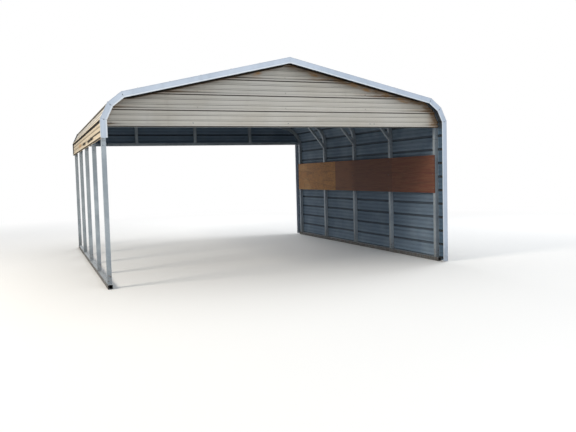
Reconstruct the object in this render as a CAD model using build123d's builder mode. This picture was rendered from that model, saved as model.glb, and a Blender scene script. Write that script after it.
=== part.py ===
from build123d import *

import os
from math import cos, hypot, radians, sin, tan

# Steel carport, 18 ft wide, with a 21 ft roof, one closed side and a gable over each open end.
#
# Bent square-tube bows stand on posts, and the posts stand on two base rails that lie on the
# ground. Ribbed sheets run from front to back over the bows. At the eaves they turn down in
# three bends, with a rib on every bend. +X is the closed side, +Y is the rear, +Z is up. The
# origin lies on the ground, at the middle of the plan. All sizes are in millimetres.

INCH = 25.4
FOOT = 12 * INCH

# Frame
frame_width = 18 * FOOT  # over the outer faces of the base rails
rail_length = 20 * FOOT
tube = 2.5 * INCH  # outside of the square tube
tube_wall = 2.0
post_inset = 96.0  # from a rail's end to the centre of its first post
bay_count = 4
leg_height = 81 * INCH  # from the ground to the joint of post and bow
bow_straight = 171.0  # straight end of the bow above that joint
roof_angle = 12.8  # degrees
bend_count = 3  # bends of the sheets at each eave
peak_radius = 300.0  # outer radius of the bow's bend at the ridge

# Sleeves that join post to rail and post to bow
rail_sleeve_reach = 150.0  # how far the lower sleeve goes up the post
post_sleeve_reach = 120.0  # how far the upper sleeve goes down the post
bow_sleeve_reach = 150.0  # how far the upper sleeve goes up the bow
sleeve_wall = 2.0
sleeve_gap = 0.3  # slip fit between a sleeve and the tube round it

# Braces, headers and gable studs
brace_tube = 2 * INCH
brace_wall = 1.6
brace_angle = 51.0  # degrees from level
brace_clear = 15.0  # from the knee brace's foot to the start of the bow's bend
peak_brace_length = 4 * FOOT
front_header_rise = 22.0  # from the start of the bow's bend to the header's underside
rear_header_rise = 51.0
stud_spacing = 54 * INCH  # between the uprights of a gable

# Ribbed sheet
sheet = 0.8
rib_pitch = 9 * INCH
rib_height = 0.75 * INCH
rib_base = 1.75 * INCH
rib_top = 0.625 * INCH
crease_height = 3.0  # the low ribs between two main ribs
crease_base = 26.0
crease_top = 12.0
creases_per_pitch = 2
ribs_per_sheet = 4  # main rib spaces covered by one 3 ft sheet
sheet_lip = 6.0  # sheet below the lowest rib of the skirt and of a lap
wall_clear = 12.0  # from the ground to the lower edge of the wall
roof_overhang = 6 * INCH  # past each end of the rails
ridge_leg = 7 * INCH  # each leg of the ridge cap
ridge_break = 15.0  # from the ridge to the edge of the highest roof sheet
skin_gap = 0.3  # sheets, trim and boards clear what carries them by this much

# Trim on the front and rear edges
trim_face = 3.5 * INCH
trim_return = 2 * INCH
trim_sheet = 1.0

# Boards along the inside of the closed wall
board_width = 640.0
board_thickness = 12.0
board_low = 1154.0  # height of the boards' lower edge
board_length = 8 * FOOT
first_board = 1390.0  # the cut board nearest the front
board_joint = 3.0

# Holes for the ground anchors, one beside each post
anchor_hole = 14.0
anchor_offset = 6 * INCH  # from the post's centre

# Places that follow from the sizes
half_width = frame_width / 2
post_x = half_width - tube / 2
inner_face = half_width - tube
roof_length = rail_length + 2 * roof_overhang
slope = radians(roof_angle)
eave_bend = (radians(90) - slope) / bend_count  # turn at each bend of the sheets
eave_radius = rib_pitch / 2 / tan(eave_bend / 2)  # the bow touches every facet of the sheets
bend_start = leg_height + bow_straight
lowest_bend = bend_start + rib_pitch / 2  # height of the lowest bend of the sheets
post_span = rail_length - 2 * post_inset
post_places = [post_span * (n / bay_count - 0.5) for n in range(bay_count + 1)]
inner_places = post_places[1:-1]
frame_face = post_span / 2 + tube / 2  # front face of the first post and bow


# Lines in the plane of a bow


def eave_corners():
    """Corners of the bow's outer polygon at the right eave, from the lowest up."""
    x, z = half_width, lowest_bend
    corners = [(x, z)]
    for n in range(1, bend_count):
        x -= rib_pitch * sin(n * eave_bend)
        z += rib_pitch * cos(n * eave_bend)
        corners.append((x, z))
    return corners


eave_x, eave_z = eave_corners()[-1]
ridge_height = eave_z + eave_x * tan(slope)
slope_length = eave_x / cos(slope)
frame_drop = tube / cos(slope)  # from the bow's top to its underside, measured upright


def frame_line(foot):
    """The bow's outer polygon on the right, from a foot up to the ridge."""
    return [(half_width, foot), *eave_corners(), (0, ridge_height)]


def underside_height(x):
    """Height of a bow's straight underside."""
    return ridge_height - frame_drop - abs(x) * tan(slope)


def underside_plane(side):
    """The plane of a bow's straight underside, with its normal up."""
    return Plane(
        origin=(0, 0, ridge_height - frame_drop),
        x_dir=(0, 1, 0),
        z_dir=(side * sin(slope), 0, cos(slope)),
    )


def offset_line(points, distance):
    """An open line moved to the left of its direction, with mitred corners."""
    steps = [(b[0] - a[0], b[1] - a[1]) for a, b in zip(points, points[1:])]
    normals = [(-z / hypot(x, z), x / hypot(x, z)) for x, z in steps]
    moved = []
    for (x, z), before, after in zip(points, normals[:1] + normals, normals + normals[-1:]):
        reach = distance / (1 + before[0] * after[0] + before[1] * after[1])
        moved.append((x + (before[0] + after[0]) * reach, z + (before[1] + after[1]) * reach))
    return moved


def ending_at(points, x=0.0):
    """The same line with its last run made to end at x."""
    (x1, z1), (x2, z2) = points[-2:]
    return points[:-1] + [(x, z2 + (z2 - z1) / (x2 - x1) * (x - x2))]


def mirrored(points):
    """The same line on the other side of the ridge."""
    return [(-x, z) for x, z in points]


# Ribbed sheets


def rib(center, along_in, along_out, height, base, top, lift=0.0):
    """Four corners of a rib on a straight run or on a bend.

    A lifted rib lies over another one. Its near side keeps that lift, and its far side comes
    down to the frame again.
    """
    side_run = (base - top) / 2
    spread = lift * (hypot(side_run, height) - side_run) / height
    across = (along_in[0] + along_out[0], along_in[1] + along_out[1])
    across = (across[0] / hypot(*across), across[1] / hypot(*across))
    corners = (
        (along_in, -base / 2 - spread, lift),
        (across, -top / 2 - spread, height + lift),
        (across, top / 2 + spread, height + lift),
        (along_out, base / 2 + spread + lift * side_run / height, 0.0),
    )
    return [
        (center[0] + way[0] * run + way[1] * rise, center[1] + way[1] * run - way[0] * rise)
        for way, run, rise in corners
    ]


def rib_place(k):
    """Where main rib k of the right side stands. Rib 0 is the skirt's lowest, 1 is a bend."""
    line = offset_line(frame_line(0), -skin_gap)
    if k < 1:
        return (line[1][0], line[1][1] - (1 - k) * rib_pitch)
    if k <= bend_count:
        return line[k]
    (x1, z1), (x2, z2) = line[-2:]
    share = (k - bend_count) * rib_pitch / hypot(x2 - x1, z2 - z1)
    return (x1 + (x2 - x1) * share, z1 + (z2 - z1) * share)


def sheet_section(ribs, tail=0.0, head=0.0, lapped=False):
    """Closed section of a ribbed sheet through its main ribs.

    tail is the plain sheet before the first rib, and head is the plain sheet after the last. A
    lapped sheet's first rib lies over the last rib of the sheet before it.
    """
    steps = [(b[0] - a[0], b[1] - a[1]) for a, b in zip(ribs, ribs[1:])]
    ways = [(x / hypot(x, z), z / hypot(x, z)) for x, z in steps]
    lift = sheet + skin_gap if lapped else 0.0
    line = []
    for center, before, after in zip(ribs, ways[:1] + ways, ways + ways[-1:]):
        line += rib(center, before, after, rib_height, rib_base, rib_top, 0.0 if line else lift)
        if center == ribs[-1]:
            break
        for n in range(1, creases_per_pitch + 1):
            run = n / (creases_per_pitch + 1) * rib_pitch
            middle = (center[0] + after[0] * run, center[1] + after[1] * run)
            line += rib(middle, after, after, crease_height, crease_base, crease_top)
    first, last = ways[0], ways[-1]
    if tail:
        line.insert(0, (line[0][0] - first[0] * tail, line[0][1] - first[1] * tail))
    if head:
        line.append((line[-1][0] + last[0] * head, line[-1][1] + last[1] * head))
    return line + offset_line(line, -sheet)[::-1]


def long_sheet(section):
    """A sheet that keeps one section from the front of the roof to the rear."""
    with BuildPart() as sheet_metal:
        with BuildSketch(Plane.XZ.offset(-roof_length / 2)):
            with BuildLine():
                Polyline(*section, close=True)
            make_face()
        extrude(amount=roof_length)
    return sheet_metal


def roof_sheets(side):
    """The sheet that turns down at the eave, and the sheets above it, up to the ridge."""
    covered = slope_length - ridge_break - ridge_leg - rib_base / 2
    highest = bend_count + int(covered / rib_pitch)
    above_highest = slope_length - ridge_break - rib_base / 2 - (highest - bend_count) * rib_pitch
    sheets = []
    for low in range(0, highest, ribs_per_sheet):
        high = min(low + ribs_per_sheet, highest)
        ribs = [rib_place(k) for k in range(low, high + 1)]
        head = above_highest if high == highest else 0.0
        over_another = low > 0 or side > 0  # the right skirt laps over the wall
        section = sheet_section(ribs, sheet_lip, head, lapped=over_another)
        sheets.append(long_sheet(section if side > 0 else mirrored(section)))
    return sheets


def wall_sheets():
    """The sheets of the closed side, from the top one down."""
    lowest = -int((rib_place(0)[1] - rib_base / 2 - wall_clear) / rib_pitch)
    below_lowest = rib_place(lowest)[1] - rib_base / 2 - wall_clear
    sheets = []
    for high in range(0, lowest, -ribs_per_sheet):
        low = max(high - ribs_per_sheet, lowest)
        ribs = [rib_place(k) for k in range(low, high + 1)]
        over_another = low > lowest
        tail = sheet_lip if over_another else below_lowest
        sheets.append(long_sheet(sheet_section(ribs, tail, lapped=over_another)))
    return sheets


def ridge_cap():
    """A bent strip over the joint of the two slopes."""
    run = ridge_leg * cos(slope)
    drop = ridge_leg * sin(slope)
    line = [(run, ridge_height - drop), (0, ridge_height), (-run, ridge_height - drop)]
    inner = offset_line(line, -2 * skin_gap - sheet)
    return long_sheet(inner + offset_line(inner, -sheet)[::-1])


def gable_sheet(end, low):
    """Sheet with level ribs that closes a gable. end is -1 in front and 1 at the rear."""
    count = int((ridge_height - low) / rib_pitch) + 2
    ribs = [(0, low + rib_base / 2 + n * rib_pitch) for n in range(count)]
    face = end * (frame_face + skin_gap)
    section = [(face + end * depth, z) for depth, z in sheet_section(ribs)]
    under_roof = ending_at(offset_line(frame_line(low), skin_gap))
    with BuildPart() as gable:
        with BuildSketch(Plane.YZ.offset(-half_width)):
            with BuildLine():
                Polyline(*section, close=True)
            make_face()
        extrude(amount=frame_width)
        with BuildSketch(Plane.XZ.offset(-end * frame_face)):
            with BuildLine():
                Polyline(*under_roof, *mirrored(under_roof)[-2::-1], close=True)
            make_face()
        extrude(amount=-end * 2 * rib_height, mode=Mode.INTERSECT)
    return gable


# Frame


def tube_section(size, wall):
    """Adds a hollow square to the sketch in hand."""
    Rectangle(size, size)
    Rectangle(size - 2 * wall, size - 2 * wall, mode=Mode.SUBTRACT)


def anchor_places():
    """The anchor hole of each post lies on the side away from the nearer rail end."""
    return [
        y + (anchor_offset if n <= bay_count / 2 else -anchor_offset)
        for n, y in enumerate(post_places)
    ]


def base_rail(side):
    """A base rail with an anchor hole beside each post."""
    with BuildPart() as rail:
        with BuildSketch(Plane.XZ.offset(-rail_length / 2)):
            with Locations((side * post_x, tube / 2)):
                tube_section(tube, tube_wall)
        extrude(amount=rail_length)
        with BuildSketch(Plane.XY):
            with Locations(*[(side * post_x, y) for y in anchor_places()]):
                Circle(anchor_hole / 2)
        extrude(amount=tube, mode=Mode.SUBTRACT)
    return rail


def post(side, y):
    """One post, from the top of the rail to the joint with the bow."""
    with BuildPart() as leg:
        with BuildSketch(Plane.XY.offset(tube)):
            with Locations((side * post_x, y)):
                tube_section(tube, tube_wall)
        extrude(amount=leg_height - tube)
    return leg


def sleeves(low, high):
    """Square sleeves inside all the posts, from one height to another."""
    size = tube - 2 * tube_wall - 2 * sleeve_gap
    with BuildPart() as inner_tubes:
        with BuildSketch(Plane.XY.offset(low)):
            with Locations(*[(side * post_x, y) for side in (-1, 1) for y in post_places]):
                tube_section(size, sleeve_wall)
        extrude(amount=high - low)
    return inner_tubes


def bow(y, hollow=True):
    """One bent bow. The solid one is the tool that copes the tubes that meet a bow."""
    middle = tube / 2
    peak = ridge_height - middle / cos(slope)
    shoulder = peak - post_x * tan(slope)
    turn = eave_radius - middle
    with BuildPart() as arch:
        with BuildLine(Plane.XZ.offset(-y)) as path:
            FilletPolyline(
                (-post_x, leg_height),
                (-post_x, shoulder),
                (0, peak),
                (post_x, shoulder),
                (post_x, leg_height),
                radius=[turn, peak_radius - middle, turn],
            )
        with BuildSketch(Plane(origin=path.line @ 0, x_dir=(1, 0, 0), z_dir=path.line % 0)):
            if hollow:
                tube_section(tube, tube_wall)
            else:
                Rectangle(tube, tube)
        sweep()
    return arch


def knee_braces(side):
    """The braces of one side, from the bow's leg up to its underside, mitred at both ends."""
    angle = radians(brace_angle)
    foot_height = bend_start - brace_clear - brace_tube / 2 / cos(angle)
    rise = underside_height(inner_face) - foot_height
    length = rise / (sin(angle) - cos(angle) * tan(slope))
    foot = Vector(side * inner_face, 0, foot_height)
    way = Vector(-side * cos(angle), 0, sin(angle))
    spare = 2 * brace_tube  # cut off again by the mitres
    with BuildPart() as brace:
        with BuildSketch(Plane(origin=foot - way * spare, x_dir=(0, 1, 0), z_dir=way)):
            tube_section(brace_tube, brace_wall)
        extrude(amount=length + 2 * spare)
        split(bisect_by=Plane(origin=foot, z_dir=(side, 0, 0)), keep=Keep.BOTTOM)
        split(bisect_by=underside_plane(side), keep=Keep.BOTTOM)
    with BuildPart() as braces:
        with Locations(*[(0, y, 0) for y in inner_places]):
            add(brace.part)
    return braces


def peak_braces():
    """Level ties under the ridge, cut to the slopes at both ends."""
    top = underside_height(peak_brace_length / 2) + brace_tube
    with BuildPart() as ties:
        with BuildSketch(Plane.YZ.offset(-half_width)):
            with Locations(*[(y, top - brace_tube / 2) for y in inner_places]):
                tube_section(brace_tube, brace_wall)
        extrude(amount=frame_width)
        for side in (-1, 1):
            split(bisect_by=underside_plane(side), keep=Keep.BOTTOM)
    return ties


def header(y, low):
    """The level tube under a gable, coped to the bow's bends at both ends."""
    coping = bow(y, hollow=False)
    with BuildPart() as level_tube:
        with BuildSketch(Plane.YZ.offset(-post_x)):
            with Locations((y, low + tube / 2)):
                tube_section(tube, tube_wall)
        extrude(amount=2 * post_x)
        add(coping.part, mode=Mode.SUBTRACT)
    return level_tube


def gable_studs(y, low):
    """Three uprights from the header up to the bow, cut to its underside."""
    coping = bow(y, hollow=False)
    with BuildPart() as studs:
        with BuildSketch(Plane.XY.offset(low + tube)):
            with Locations(*[(n * stud_spacing, y) for n in (-1, 0, 1)]):
                tube_section(tube, tube_wall)
        extrude(amount=ridge_height - low)
        add(coping.part, mode=Mode.SUBTRACT)
        for side in (-1, 1):
            split(bisect_by=underside_plane(side), keep=Keep.BOTTOM)
    return studs


# Trim and boards


def trim_band(side, near, far, foot):
    """Outline between two depths of the trim, from its foot to the ridge."""
    stand_off = rib_height + 2 * sheet + 3 * skin_gap  # clears the ribs, also at a lap
    edges = [
        ending_at(offset_line(frame_line(foot), depth - stand_off), skin_gap)
        for depth in (near, far)
    ]
    outline = edges[0] + edges[1][::-1]
    return outline if side > 0 else mirrored(outline)


def edge_trim(side, end, foot):
    """Angle trim on one half of the front or rear edge, from its foot to the ridge."""
    plane = Plane.XZ.offset(-end * (roof_length / 2 + skin_gap))
    with BuildPart() as trim:
        with BuildSketch(plane):
            with BuildLine():
                Polyline(*trim_band(side, -trim_sheet, trim_face - trim_sheet, foot), close=True)
            make_face()
        extrude(amount=-end * trim_sheet)
        with BuildSketch(plane):
            with BuildLine():
                Polyline(*trim_band(side, -trim_sheet, 0, foot), close=True)
            make_face()
        extrude(amount=end * (trim_return - trim_sheet))
    return trim


def wall_boards():
    """Boards on the inner faces of the right posts, from the front post to the rear one."""
    joints = [-frame_face + first_board, -frame_face + first_board + board_length]
    starts = [-frame_face] + [y + board_joint for y in joints]
    ends = joints + [frame_face]
    x = inner_face - skin_gap - board_thickness / 2
    with BuildPart() as boards:
        with BuildSketch(Plane.XY.offset(board_low)):
            for start, stop in zip(starts, ends):
                with Locations((x, (start + stop) / 2)):
                    Rectangle(board_thickness, stop - start)
        extrude(amount=board_width)
    return boards


# Writing the pieces


def write(name, piece):
    """Label a finished piece and save it in a file of its own."""
    piece.part.label = name
    export_step(piece.part, f"parts/{name}.step")


def write_side(name, side):
    """Everything that stands once on each side."""
    write(f"base_rail_{name}", base_rail(side))
    for n, y in enumerate(post_places, 1):
        write(f"post_{name}_{n}", post(side, y))
    write(f"knee_braces_{name}", knee_braces(side))
    for n, piece in enumerate(roof_sheets(side), 1):
        write(f"roof_sheet_{name}_{n}", piece)
    skirt_foot = rib_place(0)[1] - rib_base / 2 - sheet_lip
    trim_foot = skirt_foot if side < 0 else wall_clear
    write(f"trim_front_{name}", edge_trim(side, -1, trim_foot))
    write(f"trim_rear_{name}", edge_trim(side, 1, trim_foot))


def write_gable(name, end, header_rise):
    """Everything that stands once at each end."""
    y = end * post_span / 2
    low = bend_start + header_rise
    write(f"header_{name}", header(y, low))
    write(f"gable_studs_{name}", gable_studs(y, low))
    write(f"gable_sheet_{name}", gable_sheet(end, low))


os.makedirs("parts", exist_ok=True)
write_side("left", -1)
write_side("right", 1)
write("rail_sleeves", sleeves(tube, tube + rail_sleeve_reach))
write("bow_sleeves", sleeves(leg_height - post_sleeve_reach, leg_height + bow_sleeve_reach))
for n, y in enumerate(post_places, 1):
    write(f"bow_{n}", bow(y))
write("peak_braces", peak_braces())
write_gable("front", -1, front_header_rise)
write_gable("rear", 1, rear_header_rise)
for n, piece in enumerate(wall_sheets(), 1):
    write(f"wall_sheet_{n}", piece)
write("ridge_cap", ridge_cap())
write("wall_boards", wall_boards())
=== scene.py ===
"""Looks of the steel carport: finishes, stains, screws, clips, floor, light and camera."""

import random
from math import cos, pi, radians, sin, tan

import bmesh
import bpy
from mathutils import Matrix, Vector
from mathutils.bvhtree import BVHTree


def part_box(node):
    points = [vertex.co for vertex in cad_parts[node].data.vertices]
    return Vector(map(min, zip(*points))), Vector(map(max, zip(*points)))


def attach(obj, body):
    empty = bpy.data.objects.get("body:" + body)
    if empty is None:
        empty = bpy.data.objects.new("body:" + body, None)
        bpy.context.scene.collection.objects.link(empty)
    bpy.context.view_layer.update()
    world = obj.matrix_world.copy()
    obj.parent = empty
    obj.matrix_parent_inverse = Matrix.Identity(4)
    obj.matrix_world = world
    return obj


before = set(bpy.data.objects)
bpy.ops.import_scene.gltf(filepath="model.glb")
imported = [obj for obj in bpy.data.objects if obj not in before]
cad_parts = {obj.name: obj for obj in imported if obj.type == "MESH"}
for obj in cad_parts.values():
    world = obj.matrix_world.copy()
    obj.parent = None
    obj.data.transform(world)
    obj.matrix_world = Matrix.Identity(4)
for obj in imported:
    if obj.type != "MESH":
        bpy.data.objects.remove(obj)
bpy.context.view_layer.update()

# Sizes of the sheets, trim, braces and boards, in metres
RIB_PITCH = 0.2286
RIB_BASE = 0.04445
RIB_HEIGHT = 0.01905
SHEET_LIP = 0.006  # sheet below the lowest rib of the skirt
SLOPE = radians(12.8)
EAVE_BENDS = 3
TRIM_DEPTH = 0.0889  # of the trim's face
TRIM_HEM = 0.018  # lower edge of that face, its hem, painted lighter as a highlight
BRACE_ANGLE = radians(51)
FIRST_BOARD = 1.39  # from the frame's front face to the boards' first joint
BOARD_LENGTH = 2.4384
BOARD_FADE = (0.05, 0.50)  # along the carport, where the boards begin and end to turn paler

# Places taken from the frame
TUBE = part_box("base_rail_right")[1].z
HALF_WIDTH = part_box("base_rail_right")[1].x
INNER_FACE = HALF_WIDTH - TUBE
POST_X = HALF_WIDTH - TUBE / 2
POST_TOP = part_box("post_left_1")[1].z
POST_PLACES = [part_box(f"post_left_{n}")[0].y + TUBE / 2 for n in range(1, 6)]
FRAME_FACE = POST_PLACES[-1] + TUBE / 2
STUD_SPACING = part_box("gable_studs_front")[1].x - TUBE / 2
SKIRT_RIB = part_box("roof_sheet_left_1")[0].z + SHEET_LIP + RIB_BASE / 2
GABLE_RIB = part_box("gable_sheet_front")[0].z + RIB_BASE / 2
SKIN_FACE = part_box("trim_front_right")[1].x
TRIM_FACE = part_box("trim_rear_right")[1].y
BOARD_JOINTS = [FIRST_BOARD - FRAME_FACE, FIRST_BOARD - FRAME_FACE + BOARD_LENGTH]

# Places that follow from both
EAVE_BEND = (pi / 2 - SLOPE) / EAVE_BENDS
EAVE_RADIUS = RIB_PITCH / 2 / tan(EAVE_BEND / 2)
LOWEST_BEND = SKIRT_RIB + RIB_PITCH
BOW_START = LOWEST_BEND - RIB_PITCH / 2

SIDES = (("left", -1), ("right", 1))
ENDS = (("front", -1), ("rear", 1))
DOWN = (0, 0, -1)
UP = (0, 0, 1)
RIGHT = (1, 0, 0)
ROOF_SHEETS = (1, 2, 3, 4)  # on each side, from the eave up
WALL_SHEETS = (1, 2, 3)

# Clips
CLIP_LEG = 0.048
CLIP_WIDTH = 0.044
CLIP_SHEET = 0.0025  # thickness
CLIP_SCREW = 0.62  # place of the screws on a leg, as a share of it

# Screws in the sheets
SCREW_OFFSET = 0.036  # from a rib's middle to the screw beside it
RIDGE_SCREWS = 22  # in each row along the ridge cap
RIDGE_ROW = 0.15  # from the ridge to the row of screws beside it
# Screw places across a gable, at the uprights and bows, and along the header
GABLE_COLUMNS = (-STUD_SPACING, 0.0, STUD_SPACING, -INNER_FACE - 0.02, INNER_FACE - 0.05)
HEADER_COLUMNS = (-2.60, -1.45, 0.035, 1.45, 1.525, 2.63, 2.71)

# Screws in the posts and boards
POST_SCREW_HEIGHTS = (TUBE + 0.045, TUBE + 0.105, POST_TOP - 0.06, POST_TOP + 0.06)
POST_SCREW_OFFSET = 0.012  # from the post's middle, to one side and the other in turn
SEAT_REACH = 0.08  # on both sides of a screw's place, where its seat is looked for
SEAT_FACING = 0.9  # least share of the seat's direction along the screw
BOARD_SCREW_SHARES = (0.12, 0.5, 0.88)  # of the board's width, from its lower edge

# Screws on the trim. Those on its bends are drawn, where a solid head would stand out too far.
TRIM_SCREW_DEPTH = 0.026  # from the bows' line down the face
TRIM_SCREW_INSET = 0.028  # from the face in on the return
DRAWN_WASHER = (0.0085, 0.0060)  # radii, with their soft edges
DRAWN_HEAD = (0.0052, 0.0044)
DRAWN_DOME = (0.0056, 0.0044)

# Marks on the skirt: place along it, height above its lowest rib, reach, and for dirt its share
SKIRT_MARKS = ((-1.24, 0.056, 0.74, 1.0), (0.06, 0.064, 0.47, 1.0), (1.05, 0.076, 0.42, 0.30))
SKIRT_RUST = (1.18, 0.085, 0.50)
SKIRT_MARK_HEIGHT = (0.032, 0.014)  # half the height of a mark, soft and full
SKIRT_RUST_HEIGHT = (0.050, 0.015)
SKIRT_LINE = (0.015, 0.010)  # half the width of the dark line along the crease, in front
SKIRT_LINE_END = (-1.3, -1.6)
SKIRT_EDGE = (0.004, -0.005)  # from the lowest rib's foot, where its rust begins and is full
SKIRT_YELLOW = (0.06, -0.02)  # from the lowest bend, where aged paint and painted sunlight begin and are full

# Heights above the ground between which splashed dirt and rust specks grow to their full share
WALL_SPLASH = (0.45, 0.0)
TRIM_SPLASH = (0.45, 0.03)
ZINC_SPLASH = (0.50, 0.02)
ZINC_SPECKS = (0.40, 0.0)

# Depths on the trim's face: its pressed line, the darker band along its upper edge, and its hem's
# edge
TRIM_LINE = (0.040, 0.045)
TRIM_SHOULDER = (0.014, 0.008)
HEM_EDGE = (-0.002, 0.001)
MITRE_DIRT = (0.0030, 0.0)  # from a mitre, as is the step of its lap
MITRE_STEP = (-0.0008, 0.0008)

# Lines on the tubes: where a bow meets its post, a post its rail, and a rail's grime and painted
# shade end
BOW_JOINT = (0.0030, 0.0010)
POST_FOOT = (0.0045, 0.0010)
RAIL_EDGE = (0.002, -0.002)

# The gable's rust marks: place across, depth below the roof sheets, and reach each way
GABLE_MARKS = ((-0.45, 0.100, 0.12), (0.47, 0.084, 0.16), (1.18, 0.070, 0.17),
               (1.40, 0.084, 0.17), (1.76, 0.064, 0.22), (2.06, 0.090, 0.20))

# How far a flank of a rib faces down, for the step from 0 to 1 of the painted shade under it,
# or up with the sign turned, for the dirt on its ledge
FLANK = (0.16, 0.42)
FLANK_ABOVE = (-0.16, -0.42)
CREASE = 0.003  # height of the low ribs between two main ribs
CREASE_FOOT = (0.0006, 0.0020)  # heights over the sheet between which a crease has dirt and painted shade
CREASE_TOP = (0.006, 0.0034)
SHELTER_TOP = (-0.004, -0.010)  # painted shadow below the lowest bend, from its middle
SHELTER_FOOT = (-0.040, -0.030)
INNER_HOLLOW_SHADE = (0.004, 0.011)  # how deep a rib is inside, where painted shade in its hollow begins and is full
OVERHANG_RIB_SHADE = (0.003, 0.008)  # the same painted shade outside the frame's ends
SHADE_BLUR = 0.03  # soft edge of the shade there

# Shares of a noise between which sparse marks, patches and broken rust come in
SPARSE = (0.50, 0.80)
PATCHY = (0.40, 0.70)
BROKEN = (0.34, 0.58)

# The strip of painted shadow on a gable below the trim: its depth, how much narrower it is at
# the bends and wider on the left, and the places across where that changes
STRIP_DEPTH = (0.056, 0.040)
STRIP_NARROWER = 0.034
STRIP_WIDER = 0.036
STRIP_BENDS = (2.30, 2.50)
STRIP_MIDDLE = (0.06, -0.06)

# Dirt along the upper edge of a gable's ribs: half its width, and where it begins and is full,
# from the bows' line, with inwards below 0
RIB_LINE = (0.013, 0.005)
RIB_LINE_HEIGHT = (-0.34, -0.08)

# The gable's rust: the depth where it starts, half the height of a mark, how deep it lies on
# the ribs and between them, where it thickens to the right, and where the corner rusts
RUST_START = (0.030, 0.046)
RUST_MARK_HEIGHT = (0.046, 0.004)
RUST_ON_RIBS = (0.24, 0.08)
RUST_FRINGE = (0.130, 0.055)
RUST_RIGHT = (0.0, 1.1)
RUST_CORNER = (2.48, 2.68)

# Camera, fitted to the photograph
CAMERA_PLACE = Vector((-3.6461, -12.1878, 1.5229))
CAMERA_YAW = 0.3761
CAMERA_PITCH = 0.0637
CAMERA_ROLL = 0.0261
CAMERA_FOCUS_PX = 643.095
PHOTO_WIDTH = 576
SENSOR_WIDTH = 36.0

# Light: name, place, width, power and colour of each soft box, all aimed at one point
LAMPS = (
    ("key", (-13.0, -5.0, 7.0), 4.0, 1600.0, (1.0, 0.91, 0.78)),
    ("front", (2.0, -14.5, 6.0), 7.0, 640.0, (0.94, 0.97, 1.0)),
    ("top", (0.0, 0.0, 11.0), 9.0, 250.0, (1.0, 1.0, 1.0)),
    ("back", (3.0, 13.0, 7.0), 6.0, 560.0, (1.0, 1.0, 1.0)),
    ("right", (13.0, 2.0, 7.0), 6.0, 700.0, (1.0, 1.0, 1.0)),
)
LAMP_TARGET = Vector((0, 0, 1.5))
SKY_STRENGTH = 0.45
FLOOR_REACH = 60.0  # half its width
FLOOR_FADE = (5.0, 15.0)  # from the middle, where the floor begins and ends to fade to white

# Colours, linear
CREAM = (0.56, 0.528, 0.468)
CREAM_WORN = (0.615, 0.592, 0.545)
# Paint gone yellow on the skirt, partly with age and partly as painted warm sunlight
CREAM_AGED_SUNLIT = (0.60, 0.515, 0.385)
# The primer, painted darker and bluer for the shade inside the carport
PRIMER = (0.160, 0.222, 0.300)
# Painted shade on the primer in the overhangs
PRIMER_SHADED = (0.070, 0.120, 0.180)
PRIMER_PALE = (0.232, 0.305, 0.390)
# The trim's whites, painted darker and bluer as in the sky's shade
WHITE = (0.55, 0.63, 0.75)
WHITE_DULL = (0.48, 0.56, 0.675)
# Painted highlight on the trim's hem
WHITE_HEM_HIGHLIGHT = (0.70, 0.76, 0.83)
ZINC = (0.30, 0.345, 0.385)
ZINC_PALE = (0.41, 0.455, 0.49)
ZINC_DARK = (0.20, 0.24, 0.28)
# Grime, also used as painted shade under the ribs and on the rails' sides
GRIME_AND_SHADE = (0.062, 0.056, 0.048)
# Near black, for soot marks and for painted shadow under the trim and the lowest bend
SOOT_AND_SHADE = (0.014, 0.011, 0.008)
SHADE = (0.040, 0.043, 0.047)
RUST = (0.17, 0.06, 0.02)
RUST_PALE = (0.50, 0.255, 0.080)
STAIN = (0.24, 0.135, 0.058)
SHEET_SPECULAR = 0.15
RUBBER = (0.025, 0.025, 0.027)
BOARD_RED = (0.135, 0.034, 0.019)
BOARD_BROWN = (0.185, 0.078, 0.040)
BOARD_PALER_REAR = (0.25, 0.105, 0.052)
BOARD_TAN = (0.58, 0.27, 0.085)
BOARD_PALE = (0.68, 0.39, 0.16)
BOARD_KNOT = (0.050, 0.021, 0.013)
FLOOR_SEEN = (0.80, 0.80, 0.795)
FLOOR_LIT = (0.32, 0.32, 0.315)
SKY = (0.90, 0.95, 1.0)

chance = random.Random(11)


# Lines of the sheets


def sheet_line():
    """Corners of the sheets' line on the right, from the skirt's lowest rib up to the ridge."""
    x, z = HALF_WIDTH, LOWEST_BEND
    corners = [(HALF_WIDTH, SKIRT_RIB), (x, z)]
    for n in range(1, EAVE_BENDS):
        x -= RIB_PITCH * sin(n * EAVE_BEND)
        z += RIB_PITCH * cos(n * EAVE_BEND)
        corners.append((x, z))
    return corners + [(0.0, z + x * tan(SLOPE))]


SHEET_LINE = sheet_line()
RIDGE_HEIGHT = SHEET_LINE[-1][1]
RIDGE_RUN = EAVE_BENDS * RIB_PITCH + SHEET_LINE[EAVE_BENDS][0] / cos(SLOPE)


def on_sheets(run, side):
    """Place and outward direction in a bow's plane, at a run along the sheets from rib 0."""
    corner = min(max(int(run / RIB_PITCH), 0), EAVE_BENDS)
    (x1, z1), (x2, z2) = SHEET_LINE[corner:corner + 2]
    along = Vector((x2 - x1, z2 - z1)).normalized()
    place = Vector((x1, z1)) + along * (run - corner * RIB_PITCH)
    return Vector((side * place.x, 0, place.y)), Vector((side * along.y, 0, -along.x))


def underside_height(x):
    """Height of a bow's straight underside."""
    return RIDGE_HEIGHT - TUBE / cos(SLOPE) - abs(x) * tan(SLOPE)


# Shader helper


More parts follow.
